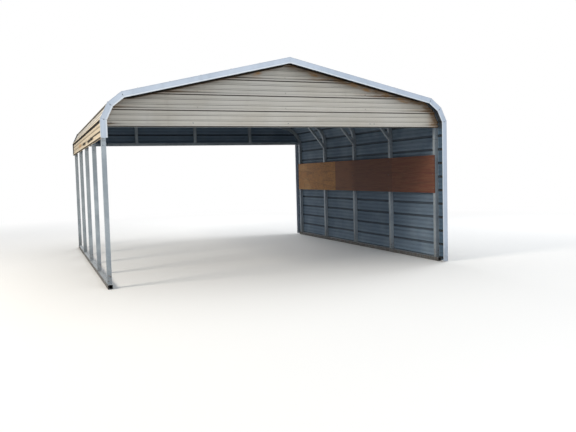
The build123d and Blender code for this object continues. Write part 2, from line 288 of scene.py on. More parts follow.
class Shader:
    """The node tree of one material, with a short call for each kind of node.

    place and normal are the point and the surface's direction on the object, and x, y and z
    are the place's parts. A value is a socket, or a number or colour that is set on the socket.
    """

    def __init__(self, name):
        self.material = bpy.data.materials.new(name)
        self.material.use_nodes = True
        self.tree = self.material.node_tree
        self.surface = self.tree.nodes["Principled BSDF"]
        coordinates = self.node("ShaderNodeTexCoord")
        self.place = coordinates.outputs["Object"]
        self.normal = coordinates.outputs["Normal"]
        self.x, self.y, self.z = self.split(self.place)

    def node(self, kind, **settings):
        made = self.tree.nodes.new(kind)
        for key, value in settings.items():
            setattr(made, key, value)
        return made

    def put(self, value, socket):
        """Link a socket to another, or set its constant."""
        if isinstance(value, bpy.types.NodeSocket):
            self.tree.links.new(value, socket)
        elif socket.type == "RGBA":
            socket.default_value = (*value, 1.0)
        else:
            socket.default_value = value

    def math(self, operation, *values):
        made = self.node("ShaderNodeMath", operation=operation)
        for value, socket in zip(values, made.inputs):
            self.put(value, socket)
        return made.outputs[0]

    def chain(self, operation, values):
        total = values[0]
        for value in values[1:]:
            total = self.math(operation, total, value)
        return total

    def add(self, *values):
        return self.chain("ADD", values)

    def less(self, value, taken):
        return self.math("SUBTRACT", value, taken)

    def times(self, *values):
        return self.chain("MULTIPLY", values)

    def most(self, *values):
        return self.chain("MAXIMUM", values)

    def least(self, *values):
        return self.chain("MINIMUM", values)

    def size(self, value):
        return self.math("ABSOLUTE", value)

    def span(self, first, second):
        """The length of the line with two components."""
        return self.math("SQRT", self.add(self.times(first, first), self.times(second, second)))

    def split(self, vector):
        made = self.node("ShaderNodeSeparateXYZ")
        self.put(vector, made.inputs[0])
        return made.outputs

    def join(self, x, y, z):
        made = self.node("ShaderNodeCombineXYZ")
        for value, socket in zip((x, y, z), made.inputs):
            self.put(value, socket)
        return made.outputs[0]

    def scaled(self, x, y, z):
        """The place, stretched along the axes."""
        return self.join(self.times(self.x, x), self.times(self.y, y), self.times(self.z, z))

    def dot(self, first, second):
        made = self.node("ShaderNodeVectorMath", operation="DOT_PRODUCT")
        self.put(first, made.inputs[0])
        self.put(second, made.inputs[1])
        return made.outputs["Value"]

    def noise(self, place, scale=1.0, detail=3.0, roughness=0.55, distortion=0.0):
        made = self.node("ShaderNodeTexNoise")
        for value, key in ((place, "Vector"), (scale, "Scale"), (detail, "Detail"),
                           (roughness, "Roughness"), (distortion, "Distortion")):
            self.put(value, made.inputs[key])
        return made.outputs["Fac"]

    def cells(self, place, scale):
        """A random number for each cell of a crystal-like pattern."""
        made = self.node("ShaderNodeTexVoronoi")
        self.put(place, made.inputs["Vector"])
        self.put(scale, made.inputs["Scale"])
        return self.split(made.outputs["Color"])[0]

    def step(self, value, low, high):
        """0 below low, 1 above high, and smooth between them. High may be the lower one."""
        made = self.node("ShaderNodeMapRange", interpolation_type="SMOOTHSTEP")
        for item, key in ((value, "Value"), (low, "From Min"), (high, "From Max")):
            self.put(item, made.inputs[key])
        return made.outputs["Result"]

    def near(self, value, place, far, close):
        """1 within close of a place, 0 from far on, and smooth between them."""
        return self.step(self.size(self.less(value, place)), far, close)

    def past_nearest(self, value, start, pitch):
        """How far a value is past the nearest of the places that follow start by a pitch."""
        turn = self.times(self.less(value, start), 1 / pitch)
        return self.times(self.less(turn, self.math("ROUND", turn)), pitch)

    def blend(self, share, first, second):
        """A colour between two others."""
        made = self.node("ShaderNodeMix", data_type="RGBA")
        for value, socket in zip((share, first, second), (0, 6, 7)):
            self.put(value, made.inputs[socket])
        return made.outputs[2]

    def between(self, share, first, second):
        """A number between two others."""
        made = self.node("ShaderNodeMix", data_type="FLOAT")
        for value, socket in zip((share, first, second), (0, 2, 3)):
            self.put(value, made.inputs[socket])
        return made.outputs[0]

    def bump(self, height, distance, normal=None):
        made = self.node("ShaderNodeBump")
        self.put(height, made.inputs["Height"])
        self.put(distance, made.inputs["Distance"])
        if normal is not None:
            self.put(normal, made.inputs["Normal"])
        return made.outputs["Normal"]

    def uneven(self, scale, distance, normal=None):
        """The surface with a fine or a soft unevenness."""
        return self.bump(self.noise(self.place, scale=scale), distance, normal)

    def finish(self, colour, roughness, normal, metallic=0.0):
        for value, key in ((colour, "Base Color"), (roughness, "Roughness"),
                           (normal, "Normal"), (metallic, "Metallic")):
            self.put(value, self.surface.inputs[key])
        return self.material


# Places on the sheets, for the shaders


def facet_heights(shader):
    """How far a point stands out from each facet of the bows: wall, bends and slope."""
    across = shader.size(shader.x)
    heights = []
    for n in range(EAVE_BENDS + 1):
        x, z = SHEET_LINE[max(n, 1)]
        out_x, out_z = cos(n * EAVE_BEND), sin(n * EAVE_BEND)
        level = shader.add(shader.times(across, out_x), shader.times(shader.z, out_z))
        heights.append(shader.less(level, x * out_x + z * out_z))
    return heights


def skin_height(shader):
    """How far a point stands out from the bows."""
    return shader.most(*facet_heights(shader))


def gable_height(shader):
    """How far a point stands out from the front or rear face of the frame."""
    return shader.less(shader.size(shader.y), FRAME_FACE)


def towards(direction):
    """How far the surface faces a direction."""
    return lambda shader: shader.dot(shader.normal, direction)


def along(axis):
    """The place along an axis: 0, 1 or 2."""
    return lambda shader: (shader.x, shader.y, shader.z)[axis]


def round_bend(shader):
    """A place that grows down the slope and round the eave's bend."""
    return shader.less(shader.z, shader.size(shader.x))


def down_slope(shader):
    """How far the surface of a roof sheet faces down its slope, whichever side it is on."""
    normal_x, _, normal_z = shader.split(shader.normal)
    side = shader.math("SIGN", shader.x)
    return shader.less(shader.times(side, normal_x, cos(SLOPE)), shader.times(normal_z, sin(SLOPE)))


def bend_arm(shader, side):
    """The way from the middle of an eave's bend to the point, across and up."""
    return (shader.less(shader.x, side * (HALF_WIDTH - EAVE_RADIUS)),
            shader.less(shader.z, BOW_START))


def out_of_bend(side):
    """How far the surface of an eave sheet faces away from the bend's middle."""

    def test(shader):
        across, up = bend_arm(shader, side)
        return shader.dot(shader.normal, shader.join(across, 0.0, up))

    return test


def down_bend(side):
    """How far the surface of an eave sheet faces down along the bend."""

    def test(shader):
        across, up = bend_arm(shader, side)
        way = shader.join(shader.times(up, side), 0.0, shader.times(across, -side))
        return shader.times(shader.dot(shader.normal, way), 1 / EAVE_RADIUS)

    return test


# Finishes of the sheets


def sheet_finish(name, outward, downward, height_of, ribs_run_along, falls_along,
                 stain=None, soil_and_shade=None, yellow=None):
    """Cream paint outside and grey primer inside, with dirt that follows the ribs and the rain,
    painted shade under the ribs outside, and painted shade in the ribs' hollows and overhangs
    inside.

    The last three arguments give the brown marks, the dark marks with painted shadow, and the aged
    paint with painted sunlight of one kind of sheet.
    """
    shader = Shader(name)
    out = shader.math("GREATER_THAN", outward(shader), 0.0)
    height = height_of(shader)
    run = ribs_run_along(shader)
    fall = falls_along(shader)

    patches = shader.noise(shader.place, scale=1.3, detail=4.0)
    streaks = shader.noise(shader.join(shader.times(run, 7.0), shader.times(fall, 0.8), 0.0))
    long_marks = shader.noise(shader.join(shader.times(run, 0.5), shader.times(fall, 22.0), 3.0))
    crest = shader.step(height, RIB_HEIGHT * 0.7, RIB_HEIGHT)
    # Flanks that face down, for painted shade under the ribs
    under = shader.step(downward(shader), *FLANK)
    ledge = shader.times(shader.step(downward(shader), *FLANK_ABOVE),
                         shader.step(height, 4 * CREASE, CREASE))

    paint = shader.blend(shader.step(patches, 0.36, 0.68), CREAM, CREAM_WORN)
    paint = shader.blend(shader.times(crest, 0.35), paint, CREAM_WORN)
    if yellow:
        # Aged yellow paint with painted sunlight
        paint = shader.blend(yellow(shader), paint, CREAM_AGED_SUNLIT)
    darkening = shader.times(shader.step(streaks, *SPARSE), 0.09)
    darkening = shader.most(darkening, shader.times(shader.step(long_marks, 0.50, 0.75), 0.16))
    darkening = shader.most(darkening, shader.times(ledge, shader.between(long_marks, 0.25, 0.60)))
    # Painted shade on the flanks that face down, strongest under the main ribs
    darkening = shader.most(darkening, shader.times(under, shader.between(patches, 0.60, 0.85)))
    darkening = shader.most(darkening, shader.times(under, shader.step(height, CREASE, 2 * CREASE), 0.95))
    paint = shader.blend(darkening, paint, GRIME_AND_SHADE)
    # Dark marks and painted shadow, in near black
    if soil_and_shade:
        black = soil_and_shade(shader, height)
        paint = shader.blend(black, paint, SOOT_AND_SHADE)
        darkening = shader.most(darkening, black)
    if stain:
        amount, dark = stain(shader)
        paint = shader.blend(amount, paint, shader.blend(dark, RUST_PALE, STAIN))

    # Painted shade on the primer outside the frame's ends, deepest above the bows
    overhang = shader.step(gable_height(shader), 0.0, SHADE_BLUR)
    primer = shader.blend(shader.step(patches, *PATCHY), PRIMER, PRIMER_PALE)
    primer = shader.blend(shader.times(overhang, 0.9), primer, PRIMER_SHADED)
    hidden = shader.times(overhang, shader.step(shader.z, BOW_START - SHADE_BLUR,
                                                BOW_START + SHADE_BLUR))
    # Sparse dust marks, and painted shade on the rib flanks, in the ribs' hollows and in the
    # overhangs
    dark_share = shader.most(shader.times(shader.step(long_marks, *SPARSE), 0.30),
                       shader.times(shader.step(shader.size(downward(shader)), *FLANK), 0.45),
                       shader.times(shader.step(height, *INNER_HOLLOW_SHADE), 0.65),
                       shader.times(hidden, 0.85),
                       shader.times(overhang, shader.step(height, *OVERHANG_RIB_SHADE)))
    primer = shader.blend(dark_share, primer, SHADE)

    colour = shader.blend(out, primer, paint)
    roughness = shader.add(shader.between(out, 0.56, 0.50), shader.times(patches, 0.16),
                           shader.times(darkening, 0.34))
    waves = shader.noise(shader.join(shader.times(run, 2.2), shader.times(fall, 5.0), 1.0))
    normal = shader.uneven(900.0, 0.00006, shader.bump(waves, 0.005))
    shader.surface.inputs["Specular IOR Level"].default_value = SHEET_SPECULAR
    return shader.finish(colour, roughness, normal)


def below_trim(shader):
    """How far a gable's point lies below the roof sheets, as the strip of painted shadow counts it.

    More is counted at the bends, where the strip is narrower, and less on the left.
    """
    bends = shader.times(shader.step(shader.size(shader.x), *STRIP_BENDS), STRIP_NARROWER)
    left = shader.times(shader.step(shader.x, *STRIP_MIDDLE), STRIP_WIDER)
    return shader.less(shader.less(bends, left), skin_height(shader))


def gable_stain(shader):
    """Rust that has run out from under the trim, mostly on the right, and down the corners."""
    depth = shader.times(skin_height(shader), -1.0)
    broken = shader.noise(shader.scaled(5.0, 0.0, 22.0), detail=4.0)
    marks = shader.most(*[
        shader.times(shader.near(shader.x, x, reach, reach * 0.1),
                     shader.near(depth, down, *RUST_MARK_HEIGHT))
        for x, down, reach in GABLE_MARKS
    ])
    blots = shader.times(marks, shader.step(broken, 0.24, 0.58), 0.85)
    turn = shader.times(shader.less(shader.z, GABLE_RIB), 1 / RIB_PITCH)
    shelf = shader.times(shader.step(shader.math("FRACT", turn), 0.32, 0.14),
                         shader.step(depth, *RUST_ON_RIBS), shader.step(broken, *BROKEN))
    fringe = shader.times(shader.step(depth, *RUST_FRINGE), shader.step(broken, 0.26, 0.56))
    washes = shader.times(shader.most(shader.times(shelf, 0.8), shader.times(fringe, 0.8)),
                          shader.between(shader.step(shader.x, *RUST_RIGHT), 0.5, 1.0))
    drips = shader.noise(shader.scaled(9.0, 0.0, 3.0), detail=4.0)
    corner = shader.times(shader.step(shader.x, *RUST_CORNER), shader.step(drips, 0.28, 0.58), 0.62)
    amount = shader.times(shader.most(blots, washes, corner),
                          shader.step(below_trim(shader), *RUST_START))
    dark = shader.times(shader.less(1.0, marks),
                        shader.between(shader.noise(shader.place, scale=17.0), 0.5, 1.0))
    return amount, dark


def gable_soil_and_shadow(shader, height):
    """Painted shadow below the trim, and dirt near it along the upper edges of the ribs."""
    # Painted shadow in a strip below the trim
    strip = shader.times(shader.step(below_trim(shader), *STRIP_DEPTH), 0.94)
    rise = shader.past_nearest(shader.z, GABLE_RIB + RIB_BASE / 2, RIB_PITCH)
    edge = shader.times(shader.near(rise, 0.0, *RIB_LINE),
                        shader.step(skin_height(shader), *RIB_LINE_HEIGHT), 0.75)
    return shader.most(strip, edge)


def eave_soil_and_shade(shader, height):
    """Dirt and painted shade on the creases, and painted shadow under the lowest bend's rib."""
    # Dirt and painted shade on the creases
    crease = shader.times(shader.step(height, *CREASE_FOOT), shader.step(height, *CREASE_TOP))
    low = shader.less(shader.z, LOWEST_BEND)
    # Painted shadow under the lowest bend's rib
    shelter = shader.times(shader.step(low, *SHELTER_TOP), shader.step(low, *SHELTER_FOOT))
    return shader.most(shader.times(crease, 0.42), shelter)


def skirt_soil_and_shade(shader, height):
    """Dark rubbed marks and a line on the skirt's lower crease, with the eave's dirt and painted
    shade.
    """
    low = shader.less(shader.z, SKIRT_RIB)
    wave = shader.times(shader.less(shader.noise(shader.scaled(0.0, 4.0, 1.0)), 0.5), 0.07)
    spots = [
        shader.times(shader.near(shader.y, y, reach, reach * 0.55),
                     shader.near(shader.add(low, wave), up, *SKIRT_MARK_HEIGHT), share)
        for y, up, reach, share in SKIRT_MARKS
    ]
    broken = shader.noise(shader.scaled(0.0, 7.0, 26.0), detail=5.0)
    smears = shader.times(shader.most(*spots), shader.step(broken, 0.27, 0.42))
    line = shader.times(shader.near(low, RIB_PITCH / 3, *SKIRT_LINE),
                        shader.step(shader.y, *SKIRT_LINE_END), 0.92)
    return shader.most(smears, line, eave_soil_and_shade(shader, height))


def skirt_stain(shader):
    """Rust along the skirt's edge, and in a patch on its lower crease."""
    edge = shader.step(shader.less(shader.z, SKIRT_RIB - RIB_BASE / 2), *SKIRT_EDGE)
    place, up, reach = SKIRT_RUST
    patch = shader.times(shader.near(shader.y, place, reach, reach * 0.3),
                         shader.near(shader.z, SKIRT_RIB + up, *SKIRT_RUST_HEIGHT))
    broken = shader.noise(shader.scaled(0.0, 7.0, 18.0), detail=6.0, roughness=0.65)
    tone = shader.noise(shader.place, scale=17.0)
    amount = shader.most(shader.times(edge, shader.noise(shader.place, scale=9.0), 0.35),
                         shader.times(patch, shader.step(broken, *BROKEN), 0.85))
    return amount, tone


def skirt_yellow(shader):
    """Paint gone yellow below the lowest bend, partly with age and partly as painted sunlight."""
    return shader.step(shader.less(shader.z, LOWEST_BEND), *SKIRT_YELLOW)


def wall_stain(shader):
    """Splashed dirt along the foot of the closed wall."""
    splash = shader.noise(shader.place, scale=6.0, detail=5.0)
    tone = shader.noise(shader.place, scale=17.0)
    amount = shader.times(shader.step(shader.z, *WALL_SPLASH),
                          shader.step(splash, 0.25, 0.75), 0.75)
    return amount, tone


def dress(node, material):
    """Give a CAD node one material."""
    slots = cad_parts[node].data.materials
    slots.clear()
    slots.append(material)


def dress_sheets():
    """Paint the roof, the wall, the two eaves and the two gables, each with its own marks."""
    along_x, along_y, along_z = along(0), along(1), along(2)
    roof = sheet_finish("roof_paint", towards(UP), down_slope, skin_height, along_y, along_x)
    wall = sheet_finish("wall_paint", towards(RIGHT), towards(DOWN), skin_height,
                        along_y, along_z, wall_stain)
    dress("ridge_cap", roof)
    for n in WALL_SHEETS:
        dress(f"wall_sheet_{n}", wall)
    for name, side in SIDES:
        marks = (skirt_stain, skirt_soil_and_shade, skirt_yellow) if side < 0 else (None, eave_soil_and_shade)
        eave = sheet_finish(f"eave_{name}_paint", out_of_bend(side), down_bend(side), skin_height,
                            along_y, round_bend, *marks)
        for n in ROOF_SHEETS:
            dress(f"roof_sheet_{name}_{n}", eave if n == 1 else roof)
    for name, end in ENDS:
        gable = sheet_finish(f"gable_{name}_paint", towards((0, end, 0)), towards(DOWN),
                             gable_height, along_x, along_z, gable_stain, gable_soil_and_shadow)
        dress(f"gable_sheet_{name}", gable)


# Finishes of tubes, trim, boards and screws


def zinc_finish():
    """Dull zinc: a faint spangle, drawn lines, dark joints and a dirty foot with rust specks.

    The sides of the ground rails are dark with grime and painted shade, and their tops are washed
    clean and painted paler as if lit.
    """
    shader = Shader("zinc")
    top = shader.step(towards(UP)(shader), 0.5, 0.8)
    # Faces turned up are kept clear of grime, as washed clean and as painted light
    washed_and_lit = shader.between(top, 1.0, 0.22)
    spangle = shader.cells(shader.place, 75.0)
    patches = shader.noise(shader.place, scale=3.1, detail=4.0)
    drawn = shader.noise(shader.scaled(70.0, 70.0, 1.2))
    joint = shader.near(shader.z, POST_TOP, *BOW_JOINT)
    foot = shader.times(shader.near(shader.z, TUBE, *POST_FOOT), washed_and_lit)
    mottle = shader.noise(shader.place, scale=21.0, detail=5.0)
    splash = shader.times(shader.step(shader.z, *ZINC_SPLASH), mottle, washed_and_lit)
    # Grime and painted shade on the ground rails' sides
    rail_grime_and_shade = shader.times(shader.step(shader.less(shader.z, TUBE), *RAIL_EDGE), washed_and_lit,
                        shader.between(shader.step(mottle, 0.35, 0.60), 0.72, 0.94))
    specks = shader.times(shader.step(shader.z, *ZINC_SPECKS),
                          shader.step(shader.noise(shader.place, scale=46.0), 0.61, 0.68))
    colour = shader.blend(shader.times(spangle, 0.5), ZINC, ZINC_PALE)
    colour = shader.blend(shader.times(shader.step(patches, *PATCHY), 0.6), colour, ZINC_DARK)
    colour = shader.blend(shader.times(shader.step(drawn, 0.55, 0.74), 0.4), colour, ZINC_PALE)
    # The rails' tops painted paler, as washed clean and as painted light from above
    rail_top = shader.times(top, shader.step(shader.z, 0.2, 0.1))
    colour = shader.blend(shader.times(rail_top, 0.8), colour, ZINC_PALE)
    colour = shader.blend(shader.most(shader.times(splash, 0.7), rail_grime_and_shade), colour, GRIME_AND_SHADE)
    colour = shader.blend(shader.times(specks, 0.8), colour, RUST)
    colour = shader.blend(shader.most(joint, shader.times(foot, 0.8)), colour, GRIME_AND_SHADE)
    metallic = shader.less(0.35, shader.times(shader.most(splash, rail_grime_and_shade, specks, joint), 0.35))
    roughness = shader.add(0.46, shader.times(spangle, 0.10), shader.times(patches, 0.16),
                           shader.times(splash, 0.25))
    normal = shader.bump(drawn, 0.0004, shader.uneven(420.0, 0.0001))
    return shader.finish(colour, roughness, normal, metallic)


def screw_distance(shader):
    """How far a point of the trim is from the nearest screw drawn on it."""
    across = shader.size(shader.x)
    distances = []
    for n in range(1, EAVE_BENDS + 1):
        place, outward = on_sheets(n * RIB_PITCH, 1)
        place -= outward * TRIM_SCREW_DEPTH
        distances.append(shader.span(shader.less(across, place.x), shader.less(shader.z, place.z)))
    rise = shader.past_nearest(shader.z, SKIRT_RIB, 2 * RIB_PITCH)
    inset = shader.add(shader.less(shader.size(shader.y), TRIM_FACE), TRIM_SCREW_INSET)
    distances.append(shader.span(rise, inset))
    return shader.least(*distances)


def trim_finish():
    """White paint with mitred laps at the bends, a pressed line, drawn screws and faint dirt."""
    shader = Shader("trim_paint")
    heights = facet_heights(shader)
    past_joint = [shader.less(upper, lower) for lower, upper in zip(heights, heights[1:])]
    nearest = shader.least(*[shader.size(value) for value in past_joint])
    lap = shader.chain("ADD", [shader.step(value, *MITRE_STEP) for value in past_joint])
    down = shader.less(SKIN_FACE - HALF_WIDTH, shader.most(*heights))
    inner = shader.step(down, *TRIM_LINE)
    hem = shader.step(shader.less(down, TRIM_DEPTH - TRIM_HEM), *HEM_EDGE)
    shoulder = shader.step(down, *TRIM_SHOULDER)
    head = screw_distance(shader)

    patches = shader.noise(shader.place, scale=2.2, detail=4.0)
    streaks = shader.noise(shader.scaled(9.0, 0.0, 1.2), detail=3.0)
    foot = shader.times(shader.step(shader.z, *TRIM_SPLASH),
                        shader.noise(shader.place, scale=17.0, detail=4.0), 0.7)
    colour = shader.blend(shader.step(patches, 0.38, 0.70), WHITE, WHITE_DULL)
    # Painted highlight on the hem
    colour = shader.blend(hem, colour, WHITE_HEM_HIGHLIGHT)
    darkening = shader.most(shader.times(shader.step(streaks, *SPARSE), 0.10), foot,
                       shader.times(shader.step(nearest, *MITRE_DIRT), 0.30),
                       shader.times(shoulder, 0.14), shader.step(head, *DRAWN_WASHER))
    colour = shader.blend(darkening, colour, GRIME_AND_SHADE)
    colour = shader.blend(shader.step(head, *DRAWN_HEAD), colour, ZINC_DARK)
    roughness = shader.add(0.34, shader.times(patches, 0.18), shader.times(darkening, 0.2))
    normal = shader.bump(lap, 0.0005, shader.uneven(5.0, 0.004))
    normal = shader.bump(inner, 0.0012, normal)
    normal = shader.bump(hem, 0.0008, normal)
    normal = shader.bump(shader.step(head, *DRAWN_DOME), 0.002, normal)
    return shader.finish(colour, roughness, shader.uneven(800.0, 0.00006, normal))


def board_finish():
    """Old board: red-brown stain in front, paler towards the rear, and a bare tan last board."""
    shader = Shader("board_wood")
    grain = shader.noise(shader.scaled(30.0, 1.6, 38.0), detail=6.0, distortion=1.5)
    figure = shader.noise(shader.scaled(0.0, 0.9, 7.0), distortion=2.0)
    fibres = shader.noise(shader.scaled(260.0, 9.0, 260.0))
    flakes = shader.cells(shader.scaled(1.0, 0.5, 1.0), 46.0)
    blotches = shader.noise(shader.scaled(0.0, 1.4, 5.0), detail=5.0)
    bare = shader.math("GREATER_THAN", shader.y, BOARD_JOINTS[1])
    second = shader.math("GREATER_THAN", shader.y, BOARD_JOINTS[0])
    paler_rear = shader.step(shader.add(shader.y, shader.times(figure, 0.5)), *BOARD_FADE)

    stained = shader.blend(shader.step(grain, 0.35, 0.65), BOARD_RED, BOARD_BROWN)
    stained = shader.blend(shader.times(second, 0.30), stained, BOARD_KNOT)
    stained = shader.blend(shader.times(paler_rear, 0.85), stained, BOARD_PALER_REAR)
    tan_board = shader.blend(shader.times(flakes, 0.5), BOARD_TAN, BOARD_BROWN)
    tan_board = shader.blend(shader.times(shader.step(blotches, 0.52, 0.68), 0.6),
                             tan_board, BOARD_PALE)
    colour = shader.blend(bare, stained, tan_board)
    colour = shader.blend(shader.times(shader.step(figure, 0.5, 0.75), 0.35), colour, BOARD_KNOT)
    colour = shader.blend(shader.times(fibres, 0.14), colour, GRIME_AND_SHADE)
    roughness = shader.add(0.62, shader.times(grain, 0.25))
    normal = shader.bump(grain, 0.0012)
    normal = shader.bump(fibres, 0.0004, normal)
    return shader.finish(colour, roughness, normal)


def screw_finish(name, clean, metal):
    """Screw heads, and some that have gone brown."""
    shader = Shader(name)
    age = shader.step(shader.noise(shader.place, scale=2.7), 0.50, 0.64)
    colour = shader.blend(age, clean, RUST)
    colour = shader.blend(shader.times(shader.noise(shader.place, scale=300.0), 0.4), colour, GRIME_AND_SHADE)
    roughness = shader.add(0.35, shader.times(age, 0.3))
    metallic = shader.times(shader.less(1.0, age), metal)
    return shader.finish(colour, roughness, shader.uneven(700.0, 0.0002), metallic)


def rubber_finish():
    """Dusty black rubber of the washers."""
    shader = Shader("washer_rubber")
    dark_share = shader.noise(shader.place, scale=60.0)
    colour = shader.blend(shader.times(dark_share, 0.4), RUBBER, GRIME_AND_SHADE)
    roughness = shader.add(0.7, shader.times(dark_share, 0.2))
    return shader.finish(colour, roughness, shader.uneven(900.0, 0.0002))


def dress_frame(zinc):
    """Paint the trim, zinc on every tube, and wood on the boards."""
    trim = trim_finish()
    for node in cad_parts:
        if node.startswith("trim"):
            dress(node, trim)
        elif "sheet" not in node and node not in ("ridge_cap", "wall_boards"):
            dress(node, zinc)
    dress("wall_boards", board_finish())


# Screws

RING_POINTS = 12
FLAT_OF_HEX = cos(pi / 6)
RUBBER_RINGS = ((0.0072, 0.0), (0.0070, 0.0016), (0.0058, 0.0022))
FLANGE_RINGS = ((0.0058, 0.0022), (0.0057, 0.0032), (0.0047, 0.0036))
HEX_RINGS = ((0.0046, 0.0036), (0.0046, 0.0062), (0.0040, 0.0068))


def screw_rings():
    """The radii round a ring, its height and its material, for every ring from the sheet out."""
    rings = [([radius] * RING_POINTS, height, 1) for radius, height in RUBBER_RINGS]
    rings += [([radius] * RING_POINTS, height, 0) for radius, height in FLANGE_RINGS]
    for radius, height in HEX_RINGS:
        rings.append(([radius, radius * FLAT_OF_HEX] * (RING_POINTS // 2), height, 0))
    return rings


def add_screw(mesh, place, outward):
    """One hex-head screw on its washer, turned by chance about its axis."""
    spin = Matrix.Rotation(chance.uniform(0, pi), 3, "Z")
    turn = outward.to_track_quat("Z", "Y").to_matrix() @ spin
    rows = []
    for radii, height, material in screw_rings():
        angles = [2 * pi * n / RING_POINTS for n in range(RING_POINTS)]
        points = [Vector((r * cos(a), r * sin(a), height)) for r, a in zip(radii, angles)]
        rows.append(([mesh.verts.new(place + turn @ point) for point in points], material))
    for (low, _), (high, material) in zip(rows, rows[1:]):
        for n in range(RING_POINTS):
            after = (n + 1) % RING_POINTS
            face = mesh.faces.new((low[n], low[after], high[after], high[n]))
            face.material_index = material
    mesh.faces.new(rows[-1][0])
    mesh.faces.new(rows[0][0][::-1])


def finished_piece(name, mesh, materials):
    """Turn a mesh under construction into a piece that stands with the carport."""
    data = bpy.data.meshes.new(name)
    mesh.to_mesh(data)
    mesh.free()
    for material in materials:
        data.materials.append(material)
    piece = bpy.data.objects.new(name, data)
    bpy.context.scene.collection.objects.link(piece)
    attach(piece, "root")


def screw_piece(name, places, materials):
    """All the screws of one part of the carport as one mesh."""
    mesh = bmesh.new()
    for place, outward in places:
        add_screw(mesh, place, outward)
    finished_piece(name, mesh, materials)


def surfaces(*names):
    """A tree of the surfaces of some nodes, for seating screws on them."""
    points, faces = [], []
    for name in names:
        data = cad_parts[name].data
        start = len(points)
        points += [vertex.co.copy() for vertex in data.vertices]
        faces += [[start + index for index in polygon.vertices] for polygon in data.polygons]
    return BVHTree.FromPolygons(points, faces)


def seated(tree, place, outward):
    """The seat of a screw near a place, as a list of one, or an empty list where it finds none."""
    start = place + outward * SEAT_REACH
    hit, normal, _, _ = tree.ray_cast(start, -outward, 2 * SEAT_REACH)
    if hit is None or normal.dot(outward) < SEAT_FACING:
        return []
    return [(hit, normal)]


def jitter(spread=0.004):
    """A small chance shift of a screw."""
    return chance.uniform(-spread, spread)


def roof_screws(side, name):
    """Two screws beside every main rib at every bow."""
    tree = surfaces(*[f"roof_sheet_{name}_{n}" for n in ROOF_SHEETS])
    places = []
    for y in POST_PLACES:
        for n in range(int(RIDGE_RUN / RIB_PITCH)):
            for offset in (-SCREW_OFFSET, SCREW_OFFSET):
                place, outward = on_sheets(n * RIB_PITCH + offset, side)
                place.y = y + jitter()
                places += seated(tree, place, outward)
    return places


def ridge_screws(side):
    """A row of screws along one leg of the ridge cap."""
    tree = surfaces("ridge_cap")
    low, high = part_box("ridge_cap")
    places = []
    for n in range(RIDGE_SCREWS):
        place, outward = on_sheets(RIDGE_RUN - RIDGE_ROW, side)
        place.y = low.y + (n + 0.5) / RIDGE_SCREWS * (high.y - low.y) + jitter()
        places += seated(tree, place, outward)
    return places


def wall_screws():
    """Two screws beside every main rib of the wall at every post."""
    tree = surfaces(*[f"wall_sheet_{n}" for n in WALL_SHEETS])
    places = []
    for y in POST_PLACES:
        for n in range(int(SKIRT_RIB / RIB_PITCH) + 1):
            for offset in (-SCREW_OFFSET, SCREW_OFFSET):
                place = Vector((HALF_WIDTH, y + jitter(), SKIRT_RIB - n * RIB_PITCH + offset))
                places += seated(tree, place, Vector(RIGHT))
    return places


def gable_screws(end, name, rows, columns):
    """Screws above the main ribs of a gable."""
    tree = surfaces(f"gable_sheet_{name}")
    places = []
    for x in columns:
        for n in rows:
            height = GABLE_RIB + n * RIB_PITCH + SCREW_OFFSET
            place = Vector((x + jitter(), end * FRAME_FACE, height))
            if place.z < underside_height(x) - TUBE:
                places += seated(tree, place, Vector((0, end, 0)))
    return places


def trim_screws(side, end, side_name, end_name):
    """A screw over every other rib on the trim's return, from the second bend up."""
    tree = surfaces(f"trim_{end_name}_{side_name}")
    places = []
    for n in range(2, int(RIDGE_RUN / RIB_PITCH), 2):
        place, outward = on_sheets(n * RIB_PITCH, side)
        place.y = end * (TRIM_FACE - TRIM_SCREW_INSET)
        places += seated(tree, place, outward)
    return places


def frame_screws():
    """Screws through each post into its two sleeves, on the post's front and rear faces."""
    places = []
    for _, side in SIDES:
        for y in POST_PLACES:
            for n, height in enumerate(POST_SCREW_HEIGHTS):
                x = side * POST_X + (POST_SCREW_OFFSET if n % 2 else -POST_SCREW_OFFSET)
                for face in (-1, 1):
                    place = Vector((x, y + face * TUBE / 2, height))
                    places.append((place, Vector((0, face, 0))))
    return places


def board_screws():
    """Three screws through each board at every post behind it."""
    tree = surfaces("wall_boards")
    low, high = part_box("wall_boards")
    places = []
    for y in POST_PLACES:
        for share in BOARD_SCREW_SHARES:
            place = Vector((low.x, y + jitter(0.01), low.z + share * (high.z - low.z)))
            places += seated(tree, place, Vector((-1, 0, 0)))
    return places


# Clips that hold the braces and the gable uprights


def add_clip(mesh, corner, first, second):
    """A folded angle plate whose legs leave the corner along two directions."""
    opening = first.angle(second)
    inner = corner + (first + second) * CLIP_SHEET / sin(opening)
    first_out = (second - first * cos(opening)).normalized()
    second_out = (first - second * cos(opening)).normalized()
    profile = [
        corner,
        corner + first * CLIP_LEG,
        corner + first * CLIP_LEG + first_out * CLIP_SHEET,
        inner,
        corner + second * CLIP_LEG + second_out * CLIP_SHEET,
        corner + second * CLIP_LEG,
    ]
    half = Vector((0, CLIP_WIDTH / 2, 0))
    near = [mesh.verts.new(point - half) for point in profile]
    far = [mesh.verts.new(point + half) for point in profile]
    for n in range(len(profile)):
        mesh.faces.new((near[n - 1], near[n], far[n], far[n - 1]))
    for row in (near, far):
        mesh.faces.new((row[0], row[1], row[2], row[3]))
        mesh.faces.new((row[0], row[3], row[4], row[5]))
    seats = []
    for leg, out in ((first, first_out), (second, second_out)):
        middle = corner + leg * CLIP_LEG * CLIP_SCREW + out * CLIP_SHEET
        seats += [(middle + half * 0.5, out), (middle - half * 0.5, out)]
    return seats


